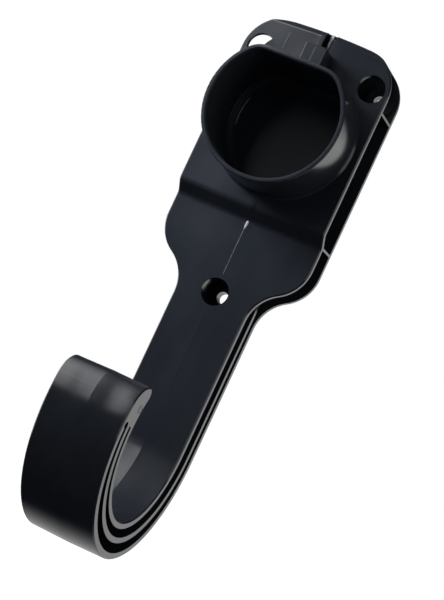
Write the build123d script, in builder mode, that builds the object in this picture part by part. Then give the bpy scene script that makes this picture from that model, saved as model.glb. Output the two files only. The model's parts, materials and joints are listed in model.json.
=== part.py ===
"""Wall holder for a charging cable: a plug socket on a head plate, an arm below it and a hook.

One moulding. X runs across the wall, Y into the wall and Z up. The origin is on the wall face, on the
axis of the lower screw. The two mould halves part at X = 0 and are pulled sideways, so every hollow is
open towards a side, and the faces that run across rise from the sides of the head to X = 0 by the draft.
"""

import os
from math import radians, sqrt, tan

from build123d import *

# Walls
wall = 2.7
back_wall = 3.0
web = 2.2
rib = 1.2
edge_break = 0.6
draft = 1.0

# Arm and hook
arm_width = 38.9
arm_depth = 20.2
hook_drop = 78.6
throat_radius = 40.1
hook_depth = 13.2
hook_sag = 0.9
tip_rise = 21.6
tip_slant = 3.0
tip_inner_rounding = 3.5
tip_margin = 0.5

# Grooves on each side of the arm and hook, with a middle wall between them
rear_groove_width = 4.2
middle_wall_lift = 0.8

# Shoulders, where the lower plate narrows to the arm
shoulder_top = 27.5
shoulder_bottom = -7.5

# Step up from the lower plate to the head plate
step_top = 44.2
step_height = 5.6
step_depth = 6.1
step_rounding = 3.0

# Head plate
head_margin = 4.75
head_top = 138.6
crown_drop = 2.2
corner_radius = 20.6
bevel_depth = 5.0
bevel_drop = 3.1
bevel_fall = 2.0

# Cross ribs in the head, one under the upper screws and one at the foot of the step
upper_rib_clearance = 1.3
lower_rib_lift = 1.0

# Plug socket
socket_height = 86.0
socket_radius = 35.0
socket_flat = 28.6
socket_corner = 13.0
socket_wall = 2.3
socket_projection = 30.7
socket_depth = 40.0
socket_floor_rounding = 4.0
rim_rounding = 0.7
socket_lead_in = 0.7
socket_foot = 1.0

# Keeper block on the flat of the socket
keeper_width = 10.8
keeper_length = 12.8
keeper_height = 12.8
keeper_break = 0.5

# Gate notch in the top edge
notch_width = 4.9
notch_height = 9.7
notch_depth = 5.6
notch_flare = 0.7
gate_width = 1.8
gate_setback = 4.3
gate_drop = 0.2

# Screws
screw_inset = 9.35
screw_drop = 19.3
screw_radius = 3.0
driver_radius = 7.0
upper_seat = 5.2
lower_seat = 6.2
boss_wall = 2.4

# Worked-out sizes of the arm and hook
half_arm = arm_width / 2
hook_radius = (arm_depth + 2 * throat_radius + hook_depth) / 2
hook_centre = -hook_drop
outer_centre = hook_centre - hook_sag
tip_top = hook_centre + tip_rise
tip_edge = tip_top - tip_slant
tip_outer_rounding = hook_depth - tip_margin
throat_y = -(arm_depth + throat_radius)
throat_tip_y = throat_y - sqrt(throat_radius**2 - tip_rise**2)
hook_tip_y = -hook_radius - sqrt(hook_radius**2 - (tip_edge - outer_centre) ** 2)
tip_groove_width = (hook_depth - back_wall - 2 * wall) / 2
groove_far = 2 * hook_radius - back_wall
middle_back = back_wall + rear_groove_width
middle_front = middle_back + wall
middle_outer = (groove_far - tip_groove_width - middle_back) / 2
middle_inner = middle_outer - wall
middle_y = -middle_back - middle_outer
middle_centre = hook_centre + middle_wall_lift

# Worked-out sizes of the head
half_head = socket_radius + head_margin
head_width = 2 * half_head
head_depth = arm_depth + step_depth
draft_rise = half_head * tan(radians(draft))
step_bottom = step_top - step_height
step_slope = sqrt(step_depth**2 + step_height**2)
crown_end = head_top - crown_drop
crown_radius = (half_head**2 + crown_drop**2) / (2 * crown_drop)
screw_rise = head_top - screw_drop
screw_reach = half_head - screw_inset
upper_rib_top = screw_rise - driver_radius - upper_rib_clearance
upper_rib_bottom = upper_rib_top - rib
lower_rib_bottom = step_bottom + lower_rib_lift - rib / 2
lower_rib_top = lower_rib_bottom + rib
step_core_top = step_top + wall * (step_slope - step_height) / step_depth
step_core_run = (step_core_top - lower_rib_top) * step_depth / step_height
socket_reach = head_depth + socket_projection
keeper_foot = socket_height + socket_flat
notch_bottom = head_top - notch_height
past_all = 2 * (hook_radius + head_width)
socket_plane = Plane(origin=(0, 0, socket_height), x_dir=(1, 0, 0), z_dir=(0, -1, 0))

with BuildPart() as cable_holder:
    # Side profile at the side of the head: head, step, arm, throat and tip, and the outside of the hook
    with BuildSketch(Plane.YZ.offset(half_head)) as side_profile:
        with BuildLine():
            Polyline(
                (0, outer_centre),
                (0, head_top),
                (-head_depth, head_top),
                (-head_depth, step_top),
                (-arm_depth, step_bottom),
                (-arm_depth, hook_centre),
            )
            ThreePointArc(
                (-arm_depth, hook_centre),
                (throat_y, hook_centre - throat_radius),
                (throat_tip_y, tip_top),
            )
            Line((throat_tip_y, tip_top), (hook_tip_y, tip_edge))
            ThreePointArc(
                (hook_tip_y, tip_edge),
                (-hook_radius, outer_centre - hook_radius),
                (0, outer_centre),
            )
        make_face()
        inner_tip = side_profile.vertices().sort_by_distance((throat_tip_y, tip_top))[0]
        fillet(inner_tip, tip_inner_rounding)
        outer_tip = side_profile.vertices().sort_by_distance((hook_tip_y, tip_edge))[0]
        fillet(outer_tip, tip_outer_rounding)
        for corner in ((-head_depth, step_top), (-arm_depth, step_bottom)):
            fillet(side_profile.vertices().sort_by_distance(corner)[0], step_rounding)
    # Each half grows by the draft towards the parting plane
    extrude(amount=-half_head, taper=-draft)
    mirror(about=Plane.YZ)

    # Front outline: crowned top, rounded corners and the shoulders down to the arm
    with BuildSketch(Plane.XZ) as front_outline:
        with BuildLine():
            shoulder_middle = ((half_arm + half_head) / 2, (shoulder_bottom + shoulder_top) / 2)
            Line((half_arm, -past_all), (half_arm, shoulder_bottom))
            lower_arc = TangentArc((half_arm, shoulder_bottom), shoulder_middle, tangent=(0, 1))
            TangentArc(shoulder_middle, (half_head, shoulder_top), tangent=lower_arc % 1)
            Line((half_head, shoulder_top), (half_head, crown_end))
            mirror(about=Plane.YZ)
            ThreePointArc((half_head, crown_end), (0, head_top), (-half_head, crown_end))
            Line((-half_arm, -past_all), (half_arm, -past_all))
        make_face()
        fillet(front_outline.vertices().group_by(Axis.Y)[-1], corner_radius)
    extrude(amount=past_all, both=True, mode=Mode.INTERSECT)

    # One edge break runs all along the outline: down the front, round the hook and up the back
    arm_edge = cable_holder.edges().sort_by_distance((half_arm, -arm_depth, hook_centre / 2))[0]
    chamfer(arm_edge, edge_break)
    # The wall face is cut flat
    split(bisect_by=Plane.XZ)

    # Side hollows of the head, the arm and the hook, cored from each side up to the web
    for side in (1, -1):
        with BuildSketch(Plane.YZ.offset(side * web / 2)):
            # Between the two head plates, from the lower rib to the upper one
            with BuildLine():
                Polyline(
                    (-back_wall, lower_rib_top),
                    (-back_wall, upper_rib_bottom),
                    (-head_depth + wall, upper_rib_bottom),
                    (-head_depth + wall, step_core_top),
                    (-head_depth + wall + step_core_run, lower_rib_top),
                    close=True,
                )
            make_face()
            # Front groove, between the inner wall and the middle wall
            with BuildLine():
                Polyline(
                    (-middle_front, middle_centre),
                    (-middle_front, lower_rib_bottom),
                    (-arm_depth + wall, lower_rib_bottom),
                    (-arm_depth + wall, hook_centre),
                )
                inner_arc = ThreePointArc(
                    (-arm_depth + wall, hook_centre),
                    (throat_y, hook_centre - throat_radius - wall),
                    (throat_y - throat_radius - wall, hook_centre),
                )
                TangentArc(inner_arc @ 1, (middle_y - middle_inner, middle_centre), tangent=(0, 1))
                ThreePointArc(
                    (middle_y - middle_inner, middle_centre),
                    (middle_y, middle_centre - middle_inner),
                    (-middle_front, middle_centre),
                )
            make_face()
            # Rear groove, between the middle wall and the outer wall
            with BuildLine():
                Polyline(
                    (-back_wall, outer_centre),
                    (-back_wall, lower_rib_bottom),
                    (-middle_back, lower_rib_bottom),
                    (-middle_back, middle_centre),
                )
                middle_arc = ThreePointArc(
                    (-middle_back, middle_centre),
                    (middle_y, middle_centre - middle_outer),
                    (middle_y - middle_outer, middle_centre),
                )
                TangentArc(middle_arc @ 1, (-groove_far, outer_centre), tangent=(0, 1))
                ThreePointArc(
                    (-groove_far, outer_centre),
                    (-hook_radius, outer_centre - hook_radius + back_wall),
                    (-back_wall, outer_centre),
                )
            make_face()
        extrude(amount=side * head_width, mode=Mode.SUBTRACT)

        # Beside the arm's width the shoulders are open between the two plates
        with BuildSketch(Plane.YZ.offset(side * half_arm)):
            with BuildLine():
                Polyline(
                    (-back_wall, shoulder_bottom),
                    (-back_wall, lower_rib_bottom),
                    (-arm_depth + wall, lower_rib_bottom),
                    (-arm_depth + wall, shoulder_bottom),
                    close=True,
                )
            make_face()
        extrude(amount=side * head_width, mode=Mode.SUBTRACT)

    # Ear hollows above the upper rib, open at the rounded corners, under a crowned top wall
    with BuildSketch(Plane.XZ.offset(back_wall)):
        with Locations((0, head_top - crown_radius)):
            Circle(crown_radius - wall)
        with Locations((0, upper_rib_top)):
            Rectangle(2 * head_width, head_top, align=(Align.CENTER, Align.MIN), mode=Mode.INTERSECT)
        Rectangle(web, 4 * head_top, mode=Mode.SUBTRACT)
    extrude(amount=head_depth - wall - back_wall, mode=Mode.SUBTRACT)

    # A pad under each upper screw, and a boss round the lower one
    with BuildSketch(Plane.XZ.offset(back_wall / 2)):
        with Locations((-screw_reach, screw_rise), (screw_reach, screw_rise)):
            Circle(driver_radius)
    extrude(amount=upper_seat - back_wall / 2)
    with BuildSketch(Plane.XZ.offset(back_wall / 2)):
        Circle(driver_radius + boss_wall)
    extrude(amount=arm_depth - wall / 2 - back_wall / 2)

    # Plug socket: a tube with a flat on top, closed by a floor inside the head
    with BuildSketch(socket_plane.offset(socket_reach - socket_depth - socket_wall)) as socket_outside:
        Circle(socket_radius)
        with Locations((0, socket_flat)):
            Rectangle(past_all, past_all, align=(Align.CENTER, Align.MAX), mode=Mode.INTERSECT)
        fillet(socket_outside.vertices(), socket_corner)
    extrude(amount=socket_depth + socket_wall)
    socket_edges = cable_holder.edges(Select.LAST)
    fillet(socket_edges.group_by(Axis.Y)[0], rim_rounding)
    plate_front = -head_depth - draft_rise / 2
    foot_edges = socket_edges.filter_by_position(Axis.Y, plate_front - draft_rise, plate_front + draft_rise)
    chamfer(foot_edges, socket_foot)

    with BuildSketch(socket_plane.offset(socket_reach - socket_depth)) as socket_inside:
        Circle(socket_radius - socket_wall)
        with Locations((0, socket_flat - socket_wall)):
            Rectangle(past_all, past_all, align=(Align.CENTER, Align.MAX), mode=Mode.INTERSECT)
        fillet(socket_inside.vertices(), socket_corner - socket_wall)
    extrude(amount=socket_depth, mode=Mode.SUBTRACT)
    bore_edges = cable_holder.edges(Select.LAST).group_by(Axis.Y)
    chamfer(bore_edges[0], socket_lead_in)
    fillet(bore_edges[-1], socket_floor_rounding)

    # Keeper block on the flat of the socket
    with BuildSketch(socket_plane.offset(head_depth - wall / 2)):
        with Locations((0, socket_flat - socket_wall / 2)):
            Rectangle(keeper_width, keeper_height + socket_wall / 2, align=(Align.CENTER, Align.MIN))
    extrude(amount=keeper_length + wall / 2)
    keeper_edges = cable_holder.edges(Select.LAST)
    keeper_edges = keeper_edges.filter_by_position(Axis.Y, -past_all, -head_depth - socket_foot)
    keeper_edges = keeper_edges.filter_by_position(Axis.Z, keeper_foot + keeper_break, past_all)
    chamfer(keeper_edges, keeper_break)

    # The top edge is bevelled back, with its own edge break, and falls from X = 0 to both sides
    head_front = -head_depth - draft_rise
    for side in (1, -1):
        with BuildSketch(Plane.YZ):
            with BuildLine():
                Polyline(
                    (head_front + bevel_depth, head_top),
                    (head_front + edge_break / 2, head_top - bevel_drop),
                    (head_front - edge_break / 2, head_top - bevel_drop - 2 * edge_break),
                    (head_front - edge_break / 2, 2 * head_top),
                    (head_front + bevel_depth, 2 * head_top),
                    close=True,
                )
            make_face()
        along_edge = (side, tan(radians(draft)), -tan(radians(bevel_fall)))
        extrude(amount=head_width, dir=along_edge, mode=Mode.SUBTRACT)

    # Notch in the top edge, flared at the front, with the gate left standing in it
    with BuildSketch(Plane.XY.offset(notch_bottom)):
        with BuildLine():
            Polyline(
                (0, -head_depth + notch_depth),
                (notch_width / 2, -head_depth + notch_depth),
                (notch_width / 2, -head_depth + notch_flare),
                (notch_width / 2 + notch_depth, -head_depth + notch_flare - notch_depth),
                (0, -head_depth + notch_flare - notch_depth),
            )
            mirror(about=Plane.YZ)
        make_face()
    extrude(amount=head_top, mode=Mode.SUBTRACT)
    with BuildSketch(Plane.XZ.offset(head_depth - notch_depth - wall)):
        with Locations((0, notch_bottom - wall)):
            Rectangle(gate_width, notch_height - gate_drop + wall, align=(Align.CENTER, Align.MIN))
    extrude(amount=notch_depth + wall - gate_setback)

    # Screw holes: a wide one in front for the driver, a narrow one through the back wall
    driver_entry = head_depth + draft_rise
    with Locations(Plane.XZ.offset(driver_entry)):
        with Locations((-screw_reach, screw_rise), (screw_reach, screw_rise)):
            CounterBoreHole(screw_radius, driver_radius, driver_entry - upper_seat, driver_entry)
        CounterBoreHole(screw_radius, driver_radius, driver_entry - lower_seat, driver_entry)

os.makedirs("parts", exist_ok=True)
cable_holder.part.label = "cable_holder"
export_step(cable_holder.part, "parts/cable_holder.step")
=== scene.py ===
"""Dresses the moulded charging cable holder: its plastic, its mould marks and a plain studio."""

import json
import math

import bpy
from mathutils import Matrix, Vector


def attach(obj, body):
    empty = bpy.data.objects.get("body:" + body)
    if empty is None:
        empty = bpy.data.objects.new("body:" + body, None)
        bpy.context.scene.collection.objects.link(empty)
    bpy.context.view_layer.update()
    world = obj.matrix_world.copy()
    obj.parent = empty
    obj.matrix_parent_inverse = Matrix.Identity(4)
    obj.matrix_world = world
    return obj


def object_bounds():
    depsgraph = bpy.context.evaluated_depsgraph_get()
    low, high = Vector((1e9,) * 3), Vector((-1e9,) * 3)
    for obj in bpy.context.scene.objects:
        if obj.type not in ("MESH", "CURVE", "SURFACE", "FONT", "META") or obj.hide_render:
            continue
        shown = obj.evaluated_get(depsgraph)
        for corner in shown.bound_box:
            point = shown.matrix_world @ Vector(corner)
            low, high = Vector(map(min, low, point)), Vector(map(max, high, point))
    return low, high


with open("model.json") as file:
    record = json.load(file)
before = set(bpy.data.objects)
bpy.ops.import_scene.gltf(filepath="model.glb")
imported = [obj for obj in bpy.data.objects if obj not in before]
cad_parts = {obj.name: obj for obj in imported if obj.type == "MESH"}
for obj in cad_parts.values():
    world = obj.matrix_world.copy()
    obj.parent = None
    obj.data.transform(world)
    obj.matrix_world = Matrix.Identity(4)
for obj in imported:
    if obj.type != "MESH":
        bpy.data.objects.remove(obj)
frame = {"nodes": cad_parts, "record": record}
cad_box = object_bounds()

bl_info = {
    "name": "Charging Cable Holder",
    "version": (1, 0, 0),
    "blender": (4, 5, 0),
    "location": "View3D > Sidebar > Cable Holder",
    "description": "Gives the moulded cable holder its plastic, its mould marks and a plain studio",
    "category": "Object",
}

MM = 0.001
HOLDER = frame["nodes"]["cable_holder"]
MOUNTS = {mount["name"]: Vector(mount["pos_m"]) for mount in frame["record"]["mounts"]}
# Where the camera aims, from the lower screw hole, and the place on the plates that the key lights.
CAMERA_AIM = Vector((-0.4, -4.4, -0.9)) * MM
KEY_AIM = Vector((-20, -20, 60)) * MM


# Sizes and colours that a user would change

class HolderFinish(bpy.types.PropertyGroup):
    """Colours, gloss and unevenness of the moulded plastic, and the colours of the highlights
    painted on its raised marks.
    """

    plastic: bpy.props.StringProperty(
        name="Plastic", description="Colour of the moulded plastic, sRGB hex", default="#2a2e33")
    plastic_worn: bpy.props.StringProperty(
        name="Flow Streaks", description="Colour of the paler streaks that the melt left, sRGB hex",
        default="#3a3e43")
    # These two are painted highlights: pale colours on the raised marks that stand in for the light
    # the marks catch.
    white_highlight: bpy.props.StringProperty(
        name="White Painted Highlight", description="Colour of the white painted highlights, sRGB hex",
        default="#f0f0f1")
    flash_highlight: bpy.props.StringProperty(
        name="Flash Highlight", description="Colour of the grey painted highlights, sRGB hex",
        default="#7c7e84")
    gloss: bpy.props.FloatProperty(
        name="Roughness", description="Roughness of the satin mould surface", default=0.15,
        min=0.0, max=1.0, subtype="FACTOR")
    core_gloss: bpy.props.FloatProperty(
        name="Socket Roughness", description="Roughness of the socket's inside", default=0.55,
        min=0.0, max=1.0, subtype="FACTOR")
    streak: bpy.props.FloatProperty(
        name="Streak Width", description="Width of the melt's flow streaks", default=14 * MM,
        unit="LENGTH")
    grain: bpy.props.FloatProperty(
        name="Grain", description="Spacing of the fine mould grain", default=0.7 * MM,
        unit="LENGTH")
    blotch: bpy.props.FloatProperty(
        name="Blotch Width", description="Width of the fibres in the painted highlights", default=0.3 * MM,
        unit="LENGTH")
    wave: bpy.props.FloatProperty(
        name="Wave Length", description="Length of the waves in the cooled walls", default=26 * MM,
        unit="LENGTH")
    wave_depth: bpy.props.FloatProperty(
        name="Wave Depth", description="Depth of the waves in the cooled walls", default=0.25 * MM,
        unit="LENGTH")
    left_sink: bpy.props.FloatProperty(
        name="Left Sink", description="Depth of the sink band left of the tip's middle",
        default=0.14 * MM, unit="LENGTH")
    right_sink: bpy.props.FloatProperty(
        name="Right Sink", description="Depth of the sink band right of the tip's middle",
        default=0.24 * MM, unit="LENGTH")


class HolderMarks(bpy.types.PropertyGroup):
    """Sizes of the marks that the mould left."""

    line_width: bpy.props.FloatProperty(
        name="Parting Line Width", description="Width of the raised parting line",
        default=0.55 * MM, unit="LENGTH")
    line_height: bpy.props.FloatProperty(
        name="Parting Line Height", description="How far the parting line stands proud",
        default=0.14 * MM, unit="LENGTH")
    drop_width: bpy.props.FloatProperty(
        name="Flash Drop Width", description="Width of the drop of flash under the step",
        default=1.5 * MM, unit="LENGTH")
    gate_width: bpy.props.FloatProperty(
        name="Gate Strip Width", description="Width of the painted highlight strip on the gate rib",
        default=1.4 * MM, unit="LENGTH")
    gate_height: bpy.props.FloatProperty(
        name="Gate Strip Height", description="How far the painted highlight strip stands proud",
        default=0.2 * MM, unit="LENGTH")
    lump_width: bpy.props.FloatProperty(
        name="Lump Width", description="Width of the soft lump on the step", default=4.3 * MM,
        unit="LENGTH")
    lump_height: bpy.props.FloatProperty(
        name="Lump Height", description="Height of the soft lump on the step", default=0.4 * MM,
        unit="LENGTH")
    core_line_width: bpy.props.FloatProperty(
        name="Core Line Width", description="Width of the core's lines in the socket",
        default=0.6 * MM, unit="LENGTH")
    core_line_height: bpy.props.FloatProperty(
        name="Core Line Height", description="How far the core's lines stand proud",
        default=0.12 * MM, unit="LENGTH")
    core_ring_radius: bpy.props.FloatProperty(
        name="Core Line Radius", description="Radius of the core's line on the socket's floor",
        default=29.0 * MM, unit="LENGTH")
    shoulder_radius: bpy.props.FloatProperty(
        name="Core Shoulder Radius", description="Radius of the core's line where the bore begins",
        default=32.3 * MM, unit="LENGTH")
    ring_radius: bpy.props.FloatProperty(
        name="Ejector Ring Radius", description="Radius of the ejector pin's ring on the tip",
        default=1.9 * MM, unit="LENGTH")
    ring_width: bpy.props.FloatProperty(
        name="Ejector Ring Width", description="Width of the ejector ring's rim",
        default=0.44 * MM, unit="LENGTH")


class HolderStage(bpy.types.PropertyGroup):
    """The camera's angle and the studio."""

    azimuth: bpy.props.FloatProperty(
        name="Azimuth", description="Camera angle to the right of the front", subtype="ANGLE",
        default=math.radians(18.53))
    elevation: bpy.props.FloatProperty(
        name="Elevation", description="Camera angle above the level", subtype="ANGLE",
        default=math.radians(-4.89))
    roll: bpy.props.FloatProperty(
        name="Roll", description="Turn of the camera about its own axis", subtype="ANGLE",
        default=math.radians(25.02))
    distance: bpy.props.FloatProperty(
        name="Distance", description="From the camera to the lower screw hole", default=1.03,
        unit="LENGTH")
    lens: bpy.props.FloatProperty(
        name="Lens", description="Focal length in millimetres on a frame 36 mm tall", default=125.8)
    drop: bpy.props.FloatProperty(
        name="Floor Drop", description="From the hook down to the floor", default=0.3,
        unit="LENGTH")
    paint: bpy.props.StringProperty(
        name="Floor Paint", description="Colour of the floor, sRGB hex", default="#e8e8e8")
    daylight: bpy.props.StringProperty(
        name="Daylight", description="Colour of the softboxes on the left front, sRGB hex",
        default="#ecf0ff")
    room: bpy.props.StringProperty(
        name="Room", description="Colour of the dim room in reflections, sRGB hex",
        default="#2a2c34")
    strip_level: bpy.props.FloatProperty(
        name="Strip Light", description="Brightness of the strip light in reflections", default=4.8)
    backdrop_level: bpy.props.FloatProperty(
        name="Backdrop", description="Brightness of the backdrop in reflections", default=1.02)


# Helpers

def linear(hex_colour, level=1.0):
    """Turns an sRGB hex colour to linear RGBA, at a level of light."""
    channels = [int(hex_colour[i:i + 2], 16) / 255 for i in (1, 3, 5)]
    return [level * (c / 12.92 if c <= 0.04045 else ((c + 0.055) / 1.055) ** 2.4)
            for c in channels] + [1.0]


def add_node(tree, kind, settings=None, inputs=None, links=None):
    """Adds a node, sets its properties and sockets, and links other outputs to its sockets."""
    node = tree.nodes.new(kind)
    for name, value in (settings or {}).items():
        setattr(node, name, value)
    for name, value in (inputs or {}).items():
        node.inputs[name].default_value = value
    for name, output in (links or {}).items():
        tree.links.new(output, node.inputs[name])
    return node


def region(tree, steps):
    """The output that is 1 inside a region and 0 outside: smooth steps, multiplied.

    A step is a measure's output, where it is still outside and where it is fully inside.
    """
    mask = None
    for measure, outside, inside in steps:
        node = add_node(tree, "ShaderNodeMapRange", {"interpolation_type": "SMOOTHSTEP"},
                        {"From Min": outside, "From Max": inside}, {"Value": measure})
        if mask is not None:
            node = add_node(tree, "ShaderNodeMath", {"operation": "MULTIPLY"},
                            links={0: mask, 1: node.outputs["Result"]})
        mask = node.outputs[0]
    return mask


def empty_material(name):
    """A material with an empty node tree."""
    material = bpy.data.materials.new(name)
    material.use_nodes = True
    material.node_tree.nodes.clear()
    return material


def deselect_all():
    """Leaves edit mode and deselects every object."""
    if bpy.context.mode != "OBJECT":
        bpy.ops.object.mode_set(mode="OBJECT")
    bpy.ops.object.select_all(action="DESELECT")


def start_piece(name, add, **settings):
    """Adds a primitive and opens it in edit mode, all selected."""
    deselect_all()
    add(**settings)
    piece = bpy.context.object
    piece.name = piece.data.name = name
    bpy.ops.object.transform_apply(location=True, rotation=True, scale=True)
    bpy.ops.object.mode_set(mode="EDIT")
    return piece


def end_piece(piece, material):
    """Closes a piece with its normals outward, and gives it its material and body."""
    bpy.ops.mesh.select_all(action="SELECT")
    bpy.ops.mesh.remove_doubles(threshold=1e-7)
    bpy.ops.mesh.normals_make_consistent(inside=False)
    bpy.ops.object.mode_set(mode="OBJECT")
    bpy.ops.object.shade_smooth_by_angle(angle=math.radians(50))
    piece.data.materials.append(material)
    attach(piece, "root")


def surface(origin, direction):
    """Where a ray from a point first meets the holder."""
    hit, place, _, _ = HOLDER.ray_cast(Vector(origin), Vector(direction))
    if not hit:
        raise RuntimeError(f"no surface of the holder from {origin} along {direction}")
    return place


def front(x, z):
    """The holder's foremost place at an X and Z in millimetres."""
    return surface((x * MM, cad_box[0][1] - 10 * MM, z * MM), (0, 1, 0))


# Materials

def satin_plastic(finish):
    """Polyamide moulded in a finely blasted mould: near black with a cool, soft sheen."""
    material = bpy.data.materials.get("moulded_polyamide_satin")
    if material:
        return material
    material = empty_material("moulded_polyamide_satin")
    tree = material.node_tree
    place = add_node(tree, "ShaderNodeTexCoord")
    # Flow streaks run down the moulding, a little paler and a little rougher than the rest.
    stretched = add_node(tree, "ShaderNodeMapping", inputs={"Scale": (1.0, 1.0, 0.4)},
                         links={"Vector": place.outputs["Object"]})
    streaks = add_node(tree, "ShaderNodeTexNoise",
                       inputs={"Scale": 1 / finish.streak, "Detail": 3.0, "Roughness": 0.5},
                       links={"Vector": stretched.outputs["Vector"]})
    colour = add_node(tree, "ShaderNodeMix", {"data_type": "RGBA"},
                      {6: linear(finish.plastic), 7: linear(finish.plastic_worn)},
                      {0: streaks.outputs["Fac"]})
    gloss = add_node(tree, "ShaderNodeMapRange",
                     inputs={"From Min": 0.3, "From Max": 0.7, "To Min": finish.gloss - 0.02,
                             "To Max": finish.gloss + 0.03},
                     links={"Value": streaks.outputs["Fac"]})
    # Places on the moulding are measured in millimetres.
    measured = add_node(tree, "ShaderNodeVectorMath", {"operation": "SCALE"}, {"Scale": 1 / MM},
                        {0: place.outputs["Object"]})
    axes = add_node(tree, "ShaderNodeSeparateXYZ", links={"Vector": measured.outputs["Vector"]})
    x, y, z = (axes.outputs[axis] for axis in "XYZ")
    # The core that formed the socket was left spark-eroded, so the inside is dull and looks darker.
    socket = MOUNTS["plug_socket"] / MM
    offset = add_node(tree, "ShaderNodeVectorMath", {"operation": "MULTIPLY_ADD"},
                      {1: (1, 0, 1), 2: (-socket.x, 0, -socket.z)},
                      {0: measured.outputs["Vector"]})
    reach = add_node(tree, "ShaderNodeVectorMath", {"operation": "LENGTH"},
                     links={0: offset.outputs["Vector"]})
    inside = region(tree, ((reach.outputs["Value"], 33.8, 33.0), (z, 112.8, 112.4), (y, -12, -15)))
    gloss = add_node(tree, "ShaderNodeMix", inputs={3: finish.core_gloss},
                     links={0: inside, 2: gloss.outputs["Result"]})
    # The walls have drawn in unevenly while they cooled, by a few hundredths of a millimetre.
    waves = add_node(tree, "ShaderNodeTexNoise", inputs={"Scale": 1 / finish.wave, "Detail": 1.0},
                     links={"Vector": place.outputs["Object"]})
    relief = add_node(tree, "ShaderNodeBump",
                      inputs={"Strength": 1.0, "Distance": finish.wave_depth},
                      links={"Height": waves.outputs["Fac"]})
    # The thick tip of the hook has sunk in two bands, one on each side of the web.
    tip = ((y, -85, -95), (z, -100, -80))
    sink = add_node(tree, "ShaderNodeMath", {"operation": "MULTIPLY"}, {1: finish.left_sink / MM},
                    {0: region(tree, (*tip, (x, -14, -6)))})
    sink = add_node(tree, "ShaderNodeMath", {"operation": "MULTIPLY_ADD"},
                    {1: finish.right_sink / MM},
                    {0: region(tree, (*tip, (x, 6, 19), (z, -56, -67))), 2: sink.outputs["Value"]})
    relief = add_node(tree, "ShaderNodeBump", inputs={"Strength": 1.0, "Distance": MM},
                      links={"Height": sink.outputs["Value"], "Normal": relief.outputs["Normal"]})
    # The blasted grain is about 0.1 mm, drawn coarser so that it shows.
    grain = add_node(tree, "ShaderNodeTexNoise", inputs={"Scale": 1 / finish.grain, "Detail": 2.0},
                     links={"Vector": place.outputs["Object"]})
    relief = add_node(tree, "ShaderNodeBump", inputs={"Strength": 0.04, "Distance": 0.1 * MM},
                      links={"Height": grain.outputs["Fac"], "Normal": relief.outputs["Normal"]})
    shader = add_node(tree, "ShaderNodeBsdfPrincipled", inputs={"IOR": 1.5},
                      links={"Base Color": colour.outputs[2], "Roughness": gloss.outputs[0],
                             "Normal": relief.outputs["Normal"]})
    add_node(tree, "ShaderNodeOutputMaterial", links={"Surface": shader.outputs["BSDF"]})
    return material


def pale_painted_highlight(name, colour, finish):
    """Painted highlight: a pale, dull and uneven colour on the raised marks, standing in for the
    light they catch.
    """
    material = bpy.data.materials.get(name)
    if material:
        return material
    material = empty_material(name)
    tree = material.node_tree
    place = add_node(tree, "ShaderNodeTexCoord")
    # Noise mixes patches of the darker streak colour into the painted highlight, and roughens it.
    blotches = add_node(tree, "ShaderNodeTexNoise", inputs={"Scale": 1 / finish.blotch, "Detail": 2.0},
                      links={"Vector": place.outputs["Object"]})
    patches = add_node(tree, "ShaderNodeMapRange",
                       inputs={"From Min": 0.3, "From Max": 0.7, "To Min": 0.0, "To Max": 0.2},
                       links={"Value": blotches.outputs["Fac"]})
    shade = add_node(tree, "ShaderNodeMix", {"data_type": "RGBA"},
                     {6: linear(colour), 7: linear(finish.plastic_worn)},
                     {0: patches.outputs["Result"]})
    relief = add_node(tree, "ShaderNodeBump", inputs={"Strength": 0.3, "Distance": 0.1 * MM},
                      links={"Height": blotches.outputs["Fac"]})
    shader = add_node(tree, "ShaderNodeBsdfPrincipled", inputs={"IOR": 1.5, "Roughness": 0.45},
                      links={"Base Color": shade.outputs[2], "Normal": relief.outputs["Normal"]})
    add_node(tree, "ShaderNodeOutputMaterial", links={"Surface": shader.outputs["BSDF"]})
    return material


def white_painted_highlight(finish):
    """The white painted highlight, on the gate rib, on the drop under the step and on the core's
    line on the socket's floor.
    """
    return pale_painted_highlight("painted_highlight_white", finish.white_highlight, finish)


def grey_painted_highlight(finish):
    """The grey painted highlight, on the parting lines of the plate and the keeper, on the insert's
    line and on the core's shoulder line.
    """
    return pale_painted_highlight("painted_highlight_grey", finish.flash_highlight, finish)


# Mould marks

def drawn_bead(name, material, width, height, stations):
    """A bead drawn down the front from station to station, half sunk in the surface.

    A station is the bead's X and Z in millimetres, and its shares of the width and of the height
    above the surface.
    """
    x, z, wide, high = stations[0]
    centre = front(x, z)
    piece = start_piece(name, bpy.ops.mesh.primitive_circle_add, vertices=10, radius=0.5,
                        fill_type="NGON", location=centre)
    bpy.ops.transform.resize(value=(wide * width, 2 * high * height, 1.0), center_override=centre)
    for x, z, next_wide, next_high in stations[1:]:
        place = front(x, z)
        bpy.ops.mesh.extrude_region_move(TRANSFORM_OT_translate={"value": place - centre})
        bpy.ops.transform.resize(value=(next_wide / wide, next_high / high, 1.0),
                                 center_override=place)
        centre, wide, high = place, next_wide, next_high
    end_piece(piece, material)


class HOLDER_OT_plastic(bpy.types.Operator):
    """Gives the moulding its satin plastic"""

    bl_idname = "cable_holder.plastic"
    bl_label = "Moulded Plastic"

    def execute(self, context):
        HOLDER.data.materials.clear()
        HOLDER.data.materials.append(satin_plastic(context.scene.holder_finish))
        return {"FINISHED"}


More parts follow.
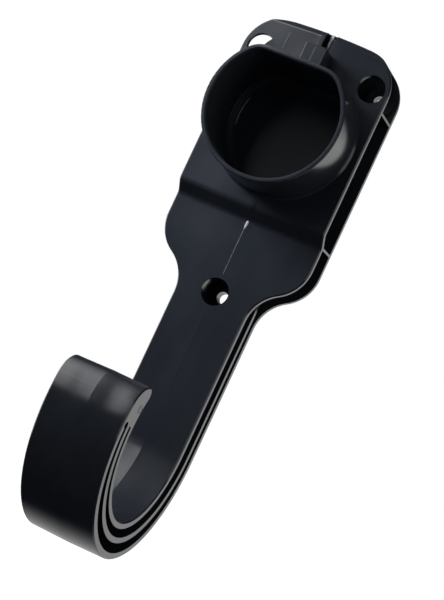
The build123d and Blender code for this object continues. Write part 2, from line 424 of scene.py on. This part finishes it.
class HOLDER_OT_parting_lines(bpy.types.Operator):
    """Draws the raised lines where the halves and the inserts of the mould met, and paints
    highlights on some of them
    """

    bl_idname = "cable_holder.parting_lines"
    bl_label = "Parting Lines"

    def execute(self, context):
        finish, marks = context.scene.holder_finish, context.scene.holder_marks
        # The second material here is the grey painted highlight.
        satin, flash_highlight = satin_plastic(finish), grey_painted_highlight(finish)
        width, height = marks.line_width, marks.line_height
        # The plate's parting line is painted with the grey highlight for the light that it catches.
        drawn_bead("plate_parting_line_painted_highlight", flash_highlight, width, height, (
            (0, 36.0, 1.0, 1.0), (0, 20.0, 0.8, 0.9), (0, 9.2, 0.6, 0.6)))
        # The drop under the step is painted with the white highlight.
        drawn_bead("flash_drop_painted_highlight", white_painted_highlight(finish), marks.drop_width, height, (
            (0.2, 38.0, 0.4, 1.0), (0.2, 37.3, 1.0, 2.0), (0.2, 36.2, 1.0, 2.2),
            (0.1, 35.2, 0.7, 1.8), (0, 33.8, 0.44, 1.2)))
        drawn_bead("arm_parting_line", satin, width, height, (
            (0, -9.6, 0.6, 0.2), (0, -14.0, 1.0, 0.4), (0, -44.0, 1.0, 0.4), (0, -54.0, 0.6, 0.2)))
        drawn_bead("hook_parting_line", satin, width, height, (
            (0, -67.0, 0.5, 0.2), (0, -72.0, 1.0, 0.5), (0, -84.0, 1.0, 0.5),
            (0, -96.0, 1.0, 0.5), (0, -106.0, 1.0, 0.5), (0, -114.0, 0.5, 0.2)))
        # The keeper's parting line and the insert's line are painted with the grey highlight.
        drawn_bead("keeper_parting_line_painted_highlight", flash_highlight, width, height, (
            (0, 127.4, 0.5, 0.5), (0, 126.0, 0.8, 0.8), (0, 117.8, 0.7, 0.7)))
        drawn_bead("insert_line_painted_highlight", flash_highlight, width, height, (
            (-19.5, 131.6, 0.4, 0.3), (-19.5, 130.4, 0.8, 0.8),
            (-19.5, 123.8, 0.8, 0.8), (-19.5, 122.6, 0.4, 0.3)))
        return {"FINISHED"}


class HOLDER_OT_gate_mark(bpy.types.Operator):
    """Paints a white highlight as a strip on the gate rib, and leaves a soft lump on the step"""

    bl_idname = "cable_holder.gate_mark"
    bl_label = "Gate Mark"

    def execute(self, context):
        finish, marks = context.scene.holder_finish, context.scene.holder_marks
        # The strip on the gate rib is a white painted highlight, a thin bead that carries the
        # colour.
        drawn_bead("gate_painted_highlight_strip", white_painted_highlight(finish), marks.gate_width, marks.gate_height, (
            (0, 138.3, 0.9, 0.5), (0.1, 136.9, 1.1, 0.9), (0, 135.4, 0.9, 0.6),
            (-0.1, 134.0, 1.05, 1.0), (0, 132.4, 0.8, 0.6), (0, 131.2, 0.3, 0.3)))
        drawn_bead("step_lump", satin_plastic(finish), marks.lump_width, marks.lump_height, (
            (0.7, 47.4, 0.372, 0.1), (0.7, 46.4, 0.791, 0.5), (0.7, 45.2, 1.0, 1.0),
            (0.7, 44.2, 0.884, 0.75), (0.7, 43.2, 0.372, 0.125)))
        return {"FINISHED"}


class HOLDER_OT_ejector_marks(bpy.types.Operator):
    """Rings the ejector pin's mark on the tip and draws the core's two lines in the socket, painted
    with highlights
    """

    bl_idname = "cable_holder.ejector_marks"
    bl_label = "Ejector and Core Marks"

    def execute(self, context):
        finish, marks = context.scene.holder_finish, context.scene.holder_marks
        centre = surface((cad_box[1][0] + 10 * MM, -102 * MM, -68.8 * MM), (-1, 0, 0))
        piece = start_piece("tip_ejector_ring", bpy.ops.mesh.primitive_circle_add, vertices=8,
                            radius=marks.ring_width / 2,
                            location=centre + Vector((0, marks.ring_radius, 0)))
        bpy.ops.transform.resize(value=(0.6, 1.0, 1.0), center_override=centre)
        bpy.ops.mesh.spin(steps=32, angle=2 * math.pi, center=centre, axis=(1, 0, 0))
        end_piece(piece, satin_plastic(finish))
        # The core's lines are arcs about the socket's axis that fade at their ends, painted with a
        # white and a grey highlight.
        middle = MOUNTS["plug_socket"] / MM
        for name, material, radius, turns in (
                ("socket_core_line_painted_highlight", white_painted_highlight(finish), marks.core_ring_radius,
                 (160, 165, 172, 180, 186, 191)),
                ("socket_core_shoulder_painted_highlight", grey_painted_highlight(finish), marks.shoulder_radius,
                 (150, 156, 164, 174, 184, 190))):
            stations = []
            for turn, share in zip(turns, (0.3, 0.9, 1.0, 1.0, 0.9, 0.3)):
                angle = math.radians(turn)
                stations.append((middle.x + radius / MM * math.cos(angle),
                                 middle.z + radius / MM * math.sin(angle), share, share))
            drawn_bead(name, material, marks.core_line_width, marks.core_line_height, stations)
        return {"FINISHED"}


# Studio

class HOLDER_OT_stage(bpy.types.Operator):
    """Sets the floor, the soft light and the camera"""

    bl_idname = "cable_holder.stage"
    bl_label = "Studio"

    def execute(self, context):
        stage = context.scene.holder_stage
        self.floor(stage)
        self.world(stage)
        # The key is close and has a grid, so the plates are lit and the arm falls off below them.
        self.softbox("near_softbox", -60, 29, level=4.4, width=0.16, height=0.16,
                     colour=stage.daylight, distance=0.4, mirrored=False, spread=60, aim=KEY_AIM)
        self.softbox("window_softbox", -62, 18, level=0.75, width=1.0, height=1.0,
                     colour=stage.daylight, mirrored=False)
        # The others stand to the sides and show in the sheen of the edges and of the socket.
        self.softbox("left_softbox", -114, 14, level=0.6, width=0.9, height=2.0)
        self.softbox("right_softbox", 90, 5, level=0.6, width=2.1, height=1.1)
        self.softbox("fill_softbox", 52, 16, level=0.12, width=1.0, height=1.0)
        self.camera(stage)
        context.scene.view_settings.view_transform = "Standard"
        return {"FINISHED"}

    def floor(self, stage):
        """A pale floor under the hook, white to the camera and still shaded by the holder."""
        deselect_all()
        bpy.ops.mesh.primitive_plane_add(size=30.0, location=(0, 0, cad_box[0][2] - stage.drop))
        floor = bpy.context.object
        floor.name = "floor"
        material = empty_material("painted_floor")
        tree = material.node_tree
        path = add_node(tree, "ShaderNodeLightPath")
        paint = add_node(tree, "ShaderNodeBsdfDiffuse", inputs={"Color": linear(stage.paint)})
        glow = add_node(tree, "ShaderNodeEmission",
                        links={"Strength": path.outputs["Is Camera Ray"]})
        both = add_node(tree, "ShaderNodeAddShader",
                        links={0: paint.outputs["BSDF"], 1: glow.outputs["Emission"]})
        add_node(tree, "ShaderNodeOutputMaterial", links={"Surface": both.outputs["Shader"]})
        floor.data.materials.append(material)
        floor.visible_glossy = floor.visible_diffuse = False

    def world(self, stage):
        """White to the camera; for reflections, a dim room with a strip light and a backdrop."""
        world = bpy.data.worlds.new("studio")
        bpy.context.scene.world = world
        world.use_nodes = True
        tree = world.node_tree
        tree.nodes.clear()
        path = add_node(tree, "ShaderNodeLightPath")
        way = add_node(tree, "ShaderNodeTexCoord")
        axes = add_node(tree, "ShaderNodeSeparateXYZ", links={"Vector": way.outputs["Generated"]})
        x, y, z = (axes.outputs[axis] for axis in "XYZ")
        # The backdrop is low, and brighter to the right.
        backdrop = region(tree, ((y, 0.35, 0.8), (z, 0.40, 0.10), (x, -1.3, 0.4)))
        shown = add_node(tree, "ShaderNodeMix", {"data_type": "RGBA"},
                         {6: linear(stage.room), 7: linear("#ffffff", stage.backdrop_level)},
                         {0: backdrop})
        # The strip light hangs on the left, from front to back, with a clean right edge.
        strip = region(tree, ((x, -0.335, -0.365), (x, -0.52, -0.37), (z, 0.12, 0.32),
                              (y, 0.62, -0.5)))
        shown = add_node(tree, "ShaderNodeMix", {"data_type": "RGBA"},
                         {7: linear("#fdfdff", stage.strip_level)}, {0: strip, 6: shown.outputs[2]})
        seen = add_node(tree, "ShaderNodeMath", {"operation": "MAXIMUM"},
                        links={0: path.outputs["Is Camera Ray"],
                               1: path.outputs["Is Transmission Ray"]})
        shown = add_node(tree, "ShaderNodeMix", {"data_type": "RGBA"}, {7: linear("#ffffff")},
                         {0: seen.outputs["Value"], 6: shown.outputs[2]})
        light = add_node(tree, "ShaderNodeBackground", links={"Color": shown.outputs[2]})
        add_node(tree, "ShaderNodeOutputWorld", links={"Surface": light.outputs["Background"]})

    def softbox(self, name, azimuth, elevation, level, width, height, colour="#ffffff",
                distance=2.0, mirrored=True, spread=180, aim=Vector()):
        """A softbox that stands in a direction from the holder, in degrees from the front.

        The level is the light that falls on a surface at the holder, square to the softbox.
        A spread under 180 degrees is that of a grid, which lights what lies off its aim less.
        One that isn't mirrored lights the plastic without showing in its sheen.
        """
        lamp = bpy.data.lights.new(name, "AREA")
        lamp.shape = "RECTANGLE"
        lamp.size, lamp.size_y = width, height
        lamp.spread = math.radians(spread)
        half = lamp.spread / 2
        lamp.energy = math.pi * level * distance**2 * (1 - half / math.tan(half))
        lamp.color = linear(colour)[:3]
        place = (Matrix.Rotation(math.radians(azimuth), 3, "Z")
                 @ Matrix.Rotation(math.radians(90 - elevation), 3, "X")
                 @ Vector((0, 0, distance)))
        box = bpy.data.objects.new(name, lamp)
        box.visible_glossy = mirrored
        box.matrix_world = (Matrix.Translation(place)
                            @ (place - aim).to_track_quat("Z", "Y").to_matrix().to_4x4())
        bpy.context.scene.collection.objects.link(box)

    def camera(self, stage):
        """A long lens at the photograph's angle, aimed at the lower screw hole."""
        lens = bpy.data.cameras.new("camera")
        lens.sensor_fit = "VERTICAL"
        lens.sensor_height = 36.0
        lens.lens = stage.lens
        camera = bpy.data.objects.new("camera", lens)
        turn = (Matrix.Rotation(stage.azimuth, 4, "Z")
                @ Matrix.Rotation(math.pi / 2 - stage.elevation, 4, "X")
                @ Matrix.Rotation(stage.roll, 4, "Z"))
        camera.matrix_world = (Matrix.Translation(MOUNTS["lower_screw"] + CAMERA_AIM) @ turn
                               @ Matrix.Translation((0, 0, stage.distance)))
        bpy.context.scene.collection.objects.link(camera)
        bpy.context.scene.camera = camera


class HOLDER_PT_panel(bpy.types.Panel):
    """Lists the holder's pieces and its studio"""

    bl_idname = "HOLDER_PT_panel"
    bl_label = "Cable Holder"
    bl_space_type = "VIEW_3D"
    bl_region_type = "UI"
    bl_category = "Cable Holder"

    def draw(self, context):
        for name in GROUPS:
            group = getattr(context.scene, name)
            box = self.layout.box()
            for setting in group.__annotations__:
                box.prop(group, setting)
        for operator in OPERATORS:
            self.layout.operator(operator.bl_idname)


GROUPS = {"holder_finish": HolderFinish, "holder_marks": HolderMarks, "holder_stage": HolderStage}
OPERATORS = (HOLDER_OT_plastic, HOLDER_OT_parting_lines, HOLDER_OT_gate_mark,
             HOLDER_OT_ejector_marks, HOLDER_OT_stage)
CLASSES = (*GROUPS.values(), *OPERATORS, HOLDER_PT_panel)


def register():
    for cls in CLASSES:
        bpy.utils.register_class(cls)
    for name, group in GROUPS.items():
        setattr(bpy.types.Scene, name, bpy.props.PointerProperty(type=group))


def unregister():
    for name in GROUPS:
        delattr(bpy.types.Scene, name)
    for cls in reversed(CLASSES):
        bpy.utils.unregister_class(cls)


def main():
    register()
    bpy.ops.cable_holder.plastic()
    bpy.ops.cable_holder.parting_lines()
    bpy.ops.cable_holder.gate_mark()
    bpy.ops.cable_holder.ejector_marks()
    bpy.ops.cable_holder.stage()


if __name__ == "__main__":
    main()
